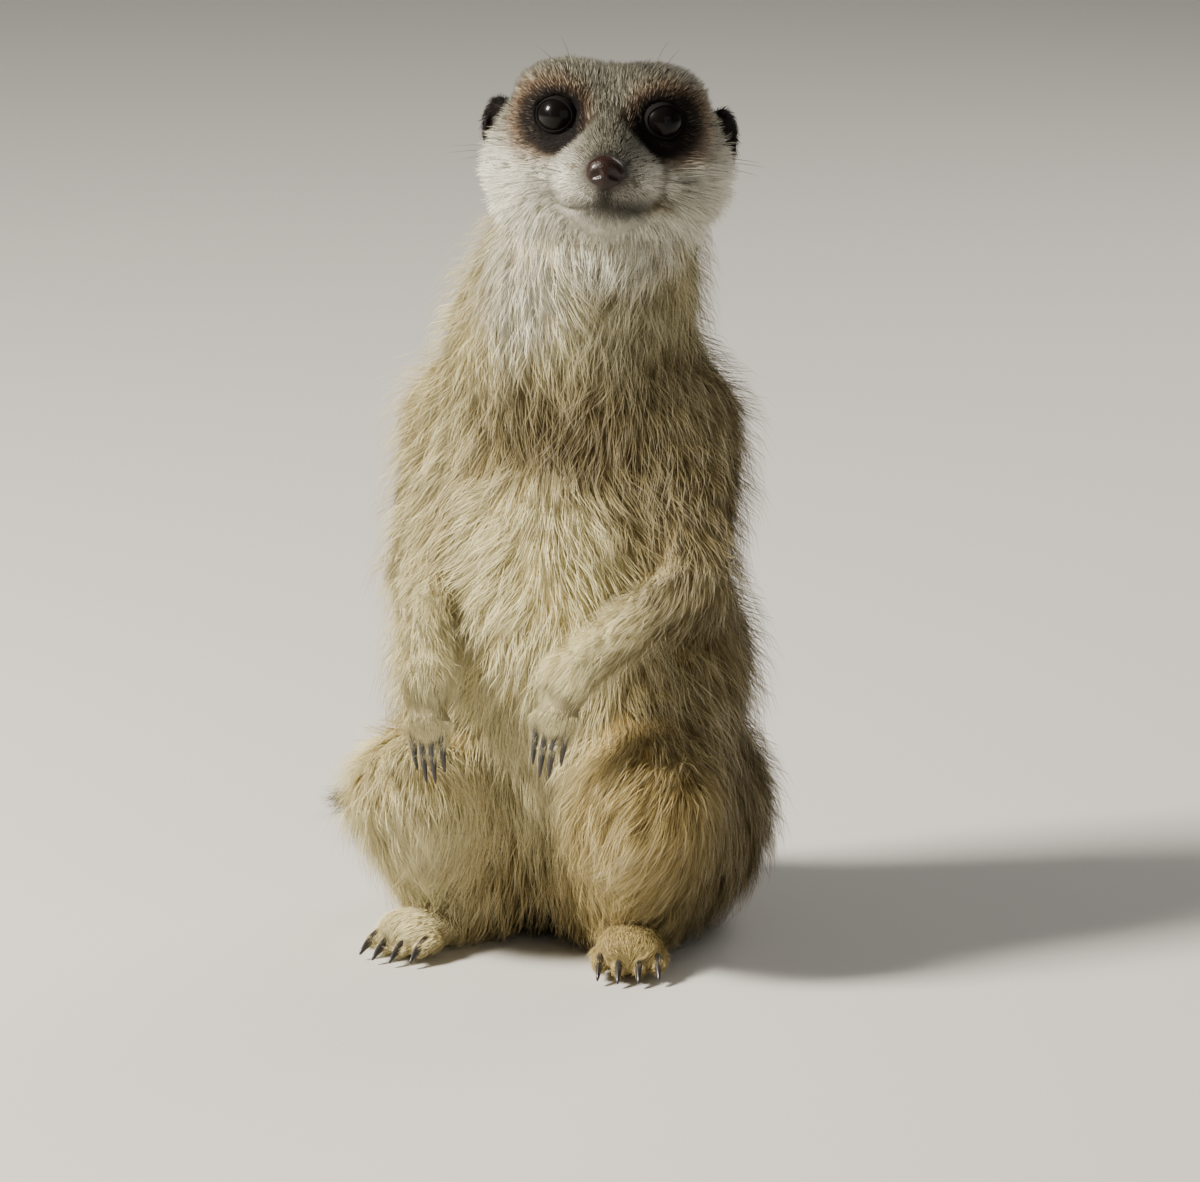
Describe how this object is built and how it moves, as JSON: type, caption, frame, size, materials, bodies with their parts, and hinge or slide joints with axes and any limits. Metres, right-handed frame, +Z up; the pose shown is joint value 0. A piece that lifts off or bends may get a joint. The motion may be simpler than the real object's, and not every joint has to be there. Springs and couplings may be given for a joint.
{
  "type": "meerkat",
  "caption": "Life-size still model of a meerkat sitting upright on its haunches, hands hanging in front of its belly, head turned to its left, tail curled on the floor behind it.",
  "frame": {"origin": "the middle of the flat under the rump, on the floor", "axes": "+Z up, the chest faces -Y, the animal's left side is +X"},
  "size_m": [0.1701, 0.2074, 0.2653],
  "materials": {
    "coat": "grizzled tan and grey-brown fur, long on the back and flanks",
    "belly_fur": "cream to buff fur over a darker ground, long and soft",
    "face_fur": "very short pale grey fur with dark patches round the eyes",
    "dark_fur": "short blackish-brown fur",
    "nose_leather": "moist dark brown pebbled skin",
    "eye": "very dark brown, polished",
    "claw": "dark horn, satin polish"
  },
  "bodies": {
    "root": {"head": "face_fur", "nose": "nose_leather", "eye_left": "eye", "eye_right": "eye", "ear_left": "dark_fur", "ear_right": "dark_fur", "neck": "belly_fur", "chest": "belly_fur", "belly": "belly_fur", "upper_arm_left": "coat", "forearm_left": "coat", "hand_left": "coat", "upper_arm_right": "coat", "forearm_right": "coat", "hand_right": "coat", "hand_claw_left_1": "claw", "hand_claw_left_2": "claw", "hand_claw_left_3": "claw", "hand_claw_left_4": "claw", "hand_claw_right_1": "claw", "hand_claw_right_2": "claw", "hand_claw_right_3": "claw", "hand_claw_right_4": "claw", "thigh_left": "coat", "shin_left": "coat", "foot_left": "coat", "thigh_right": "coat", "shin_right": "coat", "foot_right": "coat", "foot_claw_left_1": "claw", "foot_claw_left_2": "claw", "foot_claw_left_3": "claw", "foot_claw_left_4": "claw", "foot_claw_right_1": "claw", "foot_claw_right_2": "claw", "foot_claw_right_3": "claw", "foot_claw_right_4": "claw", "tail_base": "coat", "tail_middle": "coat", "tail_tip": "dark_fur"}
  },
  "joints": []
}
